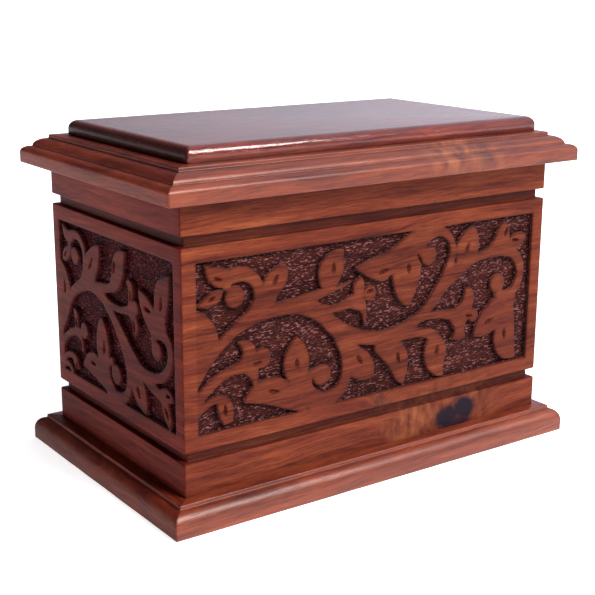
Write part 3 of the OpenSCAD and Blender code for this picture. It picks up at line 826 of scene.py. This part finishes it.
def grain_places(n, turn, seed):
    """Places in millimetres with x along the fibres, then the same leaning, then cut for one board."""
    grain = n.add("Mapping", Vector=n.add("TexCoord", out=3), Rotation=(0, 0, math.radians(-turn)),
                  Scale=(1 / MM, 1 / MM, 1 / MM))
    leaning = n.add("Mapping", Vector=grain, Rotation=(0, GRAIN_LEAN, 0))
    board = n.vector("ADD", leaning, tuple(seed * step for step in BOARD_STEP))
    return grain, leaning, board


def tree_rings(n, leaning, board, heart):
    """Distance from the centre of the tree, which wanders along the board."""
    drift = n.vector("SUBTRACT", n.pattern(board, SLOW, out=1), (0.5, 0.5, 0.5))
    bent = n.vector("ADD", leaning, n.vector("MULTIPLY", drift, (0, DRIFT, DRIFT)))
    flat = n.vector("MULTIPLY", n.vector("SUBTRACT", bent, (0, *heart)), (0, 1, 1))
    return n.vector("LENGTH", flat, (0, 0, 0), out=1)


def knot_marks(n, grain, board, ring, knots):
    """The rings bent round the knots, how dark each place is with knot, and how tan round it."""
    cores, halos = [], []
    for along, up, length, height, darkness, tan in knots:
        off = n.vector("MULTIPLY", n.vector("SUBTRACT", grain, (along, 0, up)), (1, 0, 1))
        reach = n.vector("LENGTH", n.vector("DIVIDE", off, (length, 1, height)), (0, 0, 0), out=1)
        wobble = n.math("SUBTRACT", n.pattern(board, WOBBLE, detail=3), 0.5)
        reach = n.math("ADD", reach, n.math("MULTIPLY", wobble, KNOT_WOBBLE))
        fade = n.math("MULTIPLY", n.math("MULTIPLY", reach, reach), KNOT_FADE)
        ring = n.math("ADD", ring, n.math("MULTIPLY", n.math("POWER", 2.718, fade), KNOT_BEND))
        cores.append(n.math("MULTIPLY", n.spread(reach, *KNOT_EDGE), darkness))
        halos.append(n.math("MULTIPLY", n.spread(reach, *TAN_EDGE), tan))
    return ring, n.largest(cores), n.largest(halos)


def grain_colour(n, board, ring):
    """Colour of the bare wood, with its streaks, its fibres and its pores."""
    along = n.add("SeparateXYZ", Vector=board)
    layers, parts = [], []
    for along_turns, ring_turns, detail, share in GRAIN_LAYERS:
        place = n.add("CombineXYZ", X=n.math("MULTIPLY", along, along_turns),
                      Y=n.math("MULTIPLY", ring, ring_turns))
        layers.append(n.noise(place, detail, GRAIN_ROUGHNESS))
        parts.append(n.math("MULTIPLY", layers[-1], share))
    band_part, streak_part, fibre_part = parts
    figure = n.math("ADD", n.math("ADD", band_part, streak_part), fibre_part)
    pore = n.spread(n.pattern(board, PORES, detail=1), *PORE_FROM)
    colour = n.mix(n.math("MULTIPLY", pore, PORE_SHARE), n.ramp(figure, GRAIN_COLOURS), PORE_COLOUR)
    cloud = n.spread(n.pattern(board, SLOW, detail=1), *CLOUD_FROM, 0.0, CLOUD_SHARE)
    return n.mix(cloud, colour, CLOUD_COLOUR), layers[1], layers[2], pore


def carved_ground(n, colour, board):
    """Stains what is carved, with painted shade, and paints glints on its wavy tool marks. The ground
    and the marks come too.
    """
    shade_and_stain = n.add("Attribute", out=2, settings={"attribute_name": "shade_and_stain"})
    ground = n.spread(shade_and_stain, GROUND_FROM, 1.0)
    sway = n.vector("MULTIPLY", n.pattern(board, SWAY, out=1), (1, 1, 4))
    marks = n.pattern(n.vector("ADD", board, sway), TOOL_MARKS, rough=0.6)
    # painted highlights: paler glints on the crests of the tool marks of the ground
    glint = n.math("MULTIPLY", n.spread(marks, *GLINT_FROM), ground)
    # the stain and the painted shade: the wood's colour multiplied by theirs, as far as the attribute
    # asks
    shaded_and_stained = n.mix(1.0, colour, SHADE_AND_STAIN_COLOUR, blend="MULTIPLY")
    colour = n.mix(n.math("MULTIPLY", shade_and_stain, SHADE_AND_STAIN_SHARE), colour, shaded_and_stained)
    colour = n.mix(n.math("MULTIPLY", glint, GLINT_SHARE), colour, GLINT_COLOUR)
    # painted shade: nearly black where the ground meets the vine
    foot = n.spread(shade_and_stain, *FOOT_SHADE_FROM, 0.0, FOOT_SHADE_SHARE)
    return n.mix(foot, colour, FOOT_SHADE_COLOUR), ground, marks


def end_grain(n, colour, turn, coat):
    """Darkens the faces that cross the fibres. They also shine less."""
    heading = (math.cos(math.radians(turn)), math.sin(math.radians(turn)), 0)
    end = n.math("ABSOLUTE", n.vector("DOT_PRODUCT", n.add("TexCoord", out=1), heading, out=1), 0.0)
    colour = n.mix(n.spread(end, *END_FROM, 0.0, END_SHARE), colour, END_COLOUR)
    return colour, n.spread(end, *END_FROM, coat, END_COAT * coat)


def wood_bumps(n, board, streak, pore, ground, marks):
    """Waves in the lacquer, then the grain, then the tool marks of the sunk ground."""
    bump = n.add("Bump", Strength=0.5, Distance=0.4 * MM, Height=n.pattern(board, WAVES))
    bump = n.add("Bump", Strength=0.4, Distance=0.07 * MM, Height=n.math("SUBTRACT", streak, pore),
                 Normal=bump)
    return n.add("Bump", Strength=1.0, Distance=1.6 * MM, Height=n.math("MULTIPLY", marks, ground),
                 Normal=bump)


def rosewood(name, turn, heart, seed, tone=(1, 1, 1), knots=(), coat=0.03, polish=0.3,
             shine=0.07, shine_tint=(1, 1, 1), open_ends=False):
    """Lacquered rosewood. turn is the grain's heading about Z in degrees, and heart is where the
    centre of the tree lies across the grain. tone is multiplied into the colour. Each knot is
    (along, up, half length, half height, darkness, tan wood round it). coat is how much lacquer
    there is, polish how rough it is, shine how much the wood under it reflects, and shine_tint in
    what colour. A board with open ends shows dark end grain there."""
    material = bpy.data.materials.new(name)
    n = Nodes(material)
    grain, leaning, board = grain_places(n, turn, seed)
    ring = tree_rings(n, leaning, board, heart)
    if knots:
        ring, dark, tan = knot_marks(n, grain, board, ring, knots)
    colour, streak, fibre, pore = grain_colour(n, board, ring)
    if knots:
        # tan wood round the knots, its bands partly painted sheen
        tan_wood_and_sheen = n.ramp(n.pattern(board, TAN_FIGURE_AND_SHEEN, detail=4, rough=0.6), TAN_AND_SHEEN_COLOURS)
        colour = n.mix(dark, n.mix(tan, colour, tan_wood_and_sheen), KNOT_COLOUR)
    colour, ground, marks = carved_ground(n, colour, board)
    colour = n.mix(1.0, colour, (*tone, 1), blend="MULTIPLY")
    if open_ends:
        colour, coat = end_grain(n, colour, turn, coat)
    rough = n.math("ADD", n.math("MULTIPLY", fibre, 0.2), LEAST_ROUGH)
    rough = n.math("ADD", rough, n.math("MULTIPLY", ground, 0.12))
    bump = wood_bumps(n, board, streak, pore, ground, marks)
    shader = n.add("BsdfPrincipled", Base_Color=colour, Roughness=rough, Normal=bump,
                   Specular_IOR_Level=shine, Specular_Tint=(*shine_tint, 1), Coat_Weight=coat,
                   Coat_Roughness=polish, Coat_Normal=bump)
    n.add("OutputMaterial", Surface=shader)
    return material


# ------------------------ the walls
# painted shade: the left wall takes a darker, shaded copy of the rosewood, with less shine and no
# lacquer, and the other walls the lit copy
LIT_TONE = (0.7, 0.84, 0.92)
SHADED_TONE = (0.64, 0.44, 0.64)
LIT_SHINE = 0.045
SHADED_SHINE = 0.034
front_knots = [(50, 21, 10, 8.5, 1, 0.4), (62.5, 24.5, 10, 8, 1, 0.4), (56, 16.5, 13, 5, 0.9, 0.2),
               (27, 22, 9, 7, 0, 0.75), (2, 40, 5, 4, 0.4, 0.3)]
wall_woods = {
    "front": rosewood("front rosewood", 0, (-150, -220), 1, LIT_TONE, front_knots, shine=LIT_SHINE),
    "back": rosewood("back rosewood", 180, (-150, 210), 2, LIT_TONE, shine=LIT_SHINE),
    "left": rosewood("left rosewood", -90, (-190, -160), 3, SHADED_TONE, coat=0.0,
                     shine=SHADED_SHINE),
    "right": rosewood("right rosewood", 90, (-180, 240), 4, LIT_TONE, shine=LIT_SHINE),
}
long_field = WALL_LEN - 2 * SIDE_MARGIN
short_field = WALL_DEP - 2 * SIDE_MARGIN
plain_long_vine = (LONG_GRID, LONG_STEMS, LONG_BALLS, LONG_LEAVES, LONG_SLITS)
long_vine = (LONG_GRID, LONG_STEMS, LONG_BALLS + LONG_BUD_BALLS, LONG_LEAVES + LONG_BUD_LEAVES,
             LONG_SLITS + LONG_BUD_SLITS)
short_vine = (SHORT_GRID, SHORT_STEMS, SHORT_BALLS + SHORT_BUD_BALLS,
              SHORT_LEAVES + SHORT_BUD_LEAVES, SHORT_SLITS + SHORT_BUD_SLITS)
carvings = {
    "front": Carving(long_field, *long_vine, CELL, 1),
    "back": Carving(long_field, *plain_long_vine, HIDDEN_CELL, 2),
    "left": Carving(short_field, *short_vine, CELL, 3),
    "right": Carving(short_field, *short_vine, HIDDEN_CELL, 4, flip=True),
}
for side, carving in carvings.items():
    carved_wall(side, carving, wall_woods[side])

# ------------------------ the rails
BOTTOM_T = floor_high[2] - floor_low[2]
base_section = [
    (OVERHANG - BASE_RAIL_W, 0), (OVERHANG - BASE_RAIL_W, BASE_H - BOTTOM_T),
    (-WALL_T, BASE_H - BOTTOM_T), (-WALL_T, BASE_H), (BASE_FILLET_OUT, BASE_H),
    *quarter_round(BASE_FILLET_OUT, BASE_H - FILLET_H, OVERHANG - BASE_FILLET_OUT,
                   BASE_H - FILLET_H - BASE_FACE),
    (OVERHANG, 0),
]
STEP_SHARE = 0.42  # how much of the cornice's two rounds the lower one takes
step_z = CORNICE_FACE + (CORNICE_H - FILLET_H - CORNICE_FACE) * STEP_SHARE
lip_x = -WALL_T - LIP_GAP
cornice_section = [
    (lip_x, 0), (lip_x, -LIP_DROP), (lip_x - LIP_T, -LIP_DROP), (lip_x - LIP_T, CORNICE_H),
    (0, CORNICE_H),
    *quarter_round(0, CORNICE_H - FILLET_H, CORNICE_STEP_OUT, CORNICE_H - FILLET_H - step_z),
    *quarter_round(CORNICE_STEP_OUT + STEP_LEDGE, step_z, OVERHANG - CORNICE_STEP_OUT - STEP_LEDGE,
                   step_z - CORNICE_FACE),
    (OVERHANG, 0),
]
PEACH = (1, 0.62, 0.5)
RAIL_POLISH = 0.34
# painted shade: the rails on the left take a darker, shaded copy with less lacquer and shine, and the
# others the lit look
RAIL_LOOK = {"tone": (0.84, 0.85, 0.78), "coat": 0.5, "shine": 0.22}
SHADED_RAIL_LOOK = {"tone": (0.8, 0.72, 0.8), "coat": 0.15, "shine": 0.04}
cornice_knots = [(42, 170, 8, 4, 0, 0.7), (60, 166, 6, 4, 0.35, 0.5)]
for k, (side, turn) in enumerate(SIDES.items()):
    look = SHADED_RAIL_LOOK if side == "left" else RAIL_LOOK
    base_wood = rosewood(f"{side} base rosewood", turn, (-90, -60 + 9 * k), 10 + k,
                         polish=RAIL_POLISH, shine_tint=PEACH, **look)
    lid_wood = rosewood(f"{side} cornice rosewood", turn, (-110, 90 + 7 * k), 20 + k,
                        knots=cornice_knots if side == "front" else (),
                        polish=RAIL_POLISH, shine_tint=PEACH, **look)
    rail(f"base_{side}", side, base_section, 0, base_wood, 5 + k)
    rail(f"cornice_{side}", side, cornice_section, LID_Z, lid_wood, 15 + k)

# ------------------------ the boards
CHAMFER = 0.4
TOP_CHAMFER = 0.3  # how far in the lower edge of the top board is eased
top_edge = [(TOP_CHAMFER, 0), (0, CHAMFER), (0, TOP_T - TOP_ROUND)]
top_edge += [(TOP_ROUND * (1 - math.cos(a)), TOP_T - TOP_ROUND * (1 - math.sin(a)))
             for a in np.radians(np.linspace(0, 90, ARC_STEPS + 1)[1:])]
top_wood = rosewood("top rosewood", 0, (40, -260), 31, (0.72, 0.56, 0.74), coat=1.0, polish=0.12,
                    open_ends=True)
round_board("top_panel", top_low, top_high, top_edge, top_wood)
bottom_edge = [(CHAMFER, 0), (0, CHAMFER), (0, BOTTOM_T - CHAMFER), (CHAMFER, BOTTOM_T)]
plain_wood = rosewood("bottom rosewood", 0, (30, -300), 32, coat=0.1, polish=0.4, open_ends=True)
round_board("bottom_panel", floor_low, floor_high, bottom_edge, plain_wood)

# ------------------------ stage
FLOOR_HALF = 60  # metres
FLOOR_GLOW = 0.8
ROOM_LIGHT = (0.15, 0.14, 0.155, 1)
WINDOW_LIGHT = (0.95, 0.93, 1.08, 1)
WINDOW_WAY = tuple(Vector((1.0, 0.1, 0.38)).normalized())
WINDOW_EDGE = (0.34, 0.86)  # how directly a line of sight points to the window, from dim to full
SUN_WAY = (0.42, -0.9, 0.78)
SUN_STRENGTH = 1.5
SUN_SPREAD = math.radians(28)
SUN_COLOUR = (1, 0.97, 0.94)
EYE = (-0.3869, -0.5416, 0.2605)
TARGET = (-0.00267, 0, 0.0826)
CAMERA_ROLL = math.radians(0.29)
CAMERA_LENS = 73.48
CAMERA_SENSOR = 36


def staged(name, data, place=(0, 0, 0)):
    """An object of the stage, linked to the scene."""
    obj = bpy.data.objects.new(name, data)
    bpy.context.collection.objects.link(obj)
    obj.location = place
    return obj


def look_at(obj, target, roll=0.0):
    """Turns an object's -Z to a point."""
    run = Vector(target) - obj.location
    turn = run.to_track_quat("-Z", "Y").to_matrix().to_4x4() @ Matrix.Rotation(roll, 4, "Z")
    obj.matrix_world = Matrix.Translation(obj.location) @ turn


def pale_floor():
    """A very large pale floor with a soft glow of its own."""
    mesh = bpy.data.meshes.new("floor")
    s = FLOOR_HALF
    mesh.from_pydata([(-s, -s, 0), (s, -s, 0), (s, s, 0), (-s, s, 0)], [], [(0, 1, 2, 3)])
    material = bpy.data.materials.new("pale floor")
    n = Nodes(material)
    matt = n.add("BsdfDiffuse", Color=(0.93, 0.93, 0.93, 1))
    glow = n.add("Emission", Color=(1, 1, 1, 1), Strength=FLOOR_GLOW)
    n.add("OutputMaterial", Surface=n.add("AddShader", i0=matt, i1=glow))
    mesh.materials.append(material)
    staged("floor", mesh)


def studio_world():
    """A dim room with a broad cool window to the right of the box and a little above it."""
    world = bpy.data.worlds.new("studio")
    n = Nodes(world)
    facing = n.vector("DOT_PRODUCT", n.add("TexCoord", out=0), WINDOW_WAY, out=1)
    colour = n.mix(n.spread(facing, *WINDOW_EDGE), ROOM_LIGHT, WINDOW_LIGHT)
    n.add("OutputWorld", Surface=n.add("Background", Color=colour, Strength=1.0))
    bpy.context.scene.world = world


def key_light():
    """A soft far light from above the front of the box, and from its right."""
    light = bpy.data.lights.new("key", "SUN")
    light.energy = SUN_STRENGTH * math.pi
    light.angle = SUN_SPREAD
    light.color = SUN_COLOUR
    obj = staged("key", light, SUN_WAY)
    look_at(obj, (0, 0, 0))


def photo_camera():
    camera = bpy.data.cameras.new("camera")
    camera.sensor_width = CAMERA_SENSOR
    camera.lens = CAMERA_LENS
    obj = staged("camera", camera, EYE)
    look_at(obj, TARGET, CAMERA_ROLL)
    bpy.context.scene.camera = obj


pale_floor()
studio_world()
key_light()
photo_camera()
bpy.context.scene.view_settings.view_transform = "Standard"
